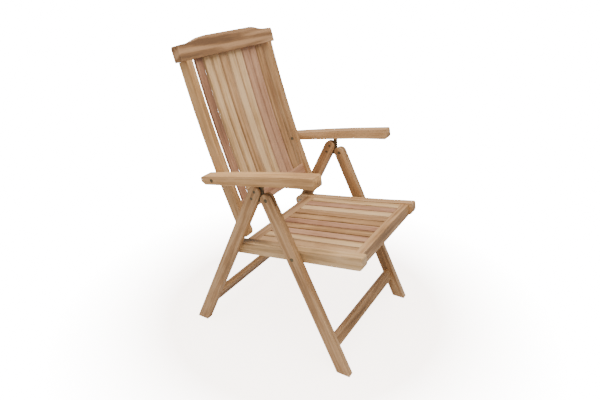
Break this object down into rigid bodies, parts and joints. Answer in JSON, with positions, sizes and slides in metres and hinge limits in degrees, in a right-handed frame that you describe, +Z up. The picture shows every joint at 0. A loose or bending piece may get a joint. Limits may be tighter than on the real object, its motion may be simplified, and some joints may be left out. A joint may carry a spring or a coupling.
{
  "type": "folding reclining garden chair",
  "caption": "Folding wooden garden armchair with a reclining slatted back, a slatted seat and legs that hinge under the armrests to close flat.",
  "frame": {"origin": "on the floor, under the middle of the chair's length and width in its open, upright pose", "axes": "+Z up, -Y the way the sitter faces, +X to the sitter's left"},
  "size_m": [0.608, 0.7104, 1.0845],
  "materials": {
    "teak": "satin oiled",
    "teak_pale": "satin oiled",
    "brass": "aged",
    "steel": "satin"
  },
  "bodies": {
    "rear_frame": {"rear_leg_right": "teak", "rear_leg_left": "teak", "rear_stretcher": "teak", "arm_tongue_right": "brass", "arm_tongue_left": "brass", "tongue_bolts": "brass"},
    "front_frame": {"front_leg_right": "teak", "front_leg_left": "teak", "front_stretcher": "teak", "leg_pivot_bolts": "brass", "seat_pivot_bolts": "brass"},
    "seat": {"seat_rail_right": "teak", "seat_rail_left": "teak", "seat_front_rail": "teak", "seat_rear_rail": "teak", "seat_slat_1": "teak", "seat_slat_2": "teak", "seat_slat_3": "teak", "seat_slat_4": "teak", "seat_slat_5": "teak", "seat_slat_6": "teak", "seat_slat_7": "teak", "seat_slat_8": "teak", "seat_slat_9": "teak", "seat_slat_10": "teak", "seat_slide_pins": "steel", "seat_washers": "steel"},
    "back": {"back_stile_right": "teak", "back_stile_left": "teak", "top_rail": "teak", "bottom_rail": "teak", "back_slat_1": "teak", "back_slat_2": "teak", "back_slat_3": "teak", "back_slat_4": "teak", "back_slat_5": "teak", "back_slat_6": "teak", "back_slat_7": "teak", "back_slat_8": "teak", "back_slat_9": "teak", "back_pivot_bolts": "brass", "back_washers": "steel"},
    "arm_right": {"arm_pivot_bolt_right": "brass", "armrest_right": "teak_pale"},
    "arm_left": {"arm_pivot_bolt_left": "brass", "armrest_left": "teak"}
  },
  "joints": [
    {"name": "fold", "type": "hinge", "parent": "rear_frame", "child": "front_frame", "pos_m": [0, -0.0118, 0.59926], "axis": [1, 0, 0], "range_deg": [0, 49]},
    {"name": "seat_swing", "type": "hinge", "parent": "front_frame", "child": "seat", "pos_m": [0, -0.11147, 0.40448], "axis": [1, 0, 0], "range_deg": [-93.2, 0]},
    {"name": "recline", "type": "hinge", "parent": "rear_frame", "child": "back", "pos_m": [0, 0.10682, 0.43667], "axis": [1, 0, 0], "range_deg": [-30, 0]},
    {"name": "arm_turn_right", "type": "hinge", "parent": "back", "child": "arm_right", "pos_m": [-0.279, 0.19247, 0.63536], "axis": [1, 0, 0], "range_deg": [0, 19.6]},
    {"name": "arm_turn_left", "type": "hinge", "parent": "back", "child": "arm_left", "pos_m": [0.279, 0.19247, 0.63536], "axis": [1, 0, 0], "range_deg": [0, 19.6]}
  ],
  "couplings": [
    {"joint": "seat_swing", "follows": "fold", "ratio": -1.9},
    {"joint": "arm_turn_right", "follows": "recline", "ratio": -0.65},
    {"joint": "arm_turn_left", "follows": "recline", "ratio": -0.65}
  ]
}
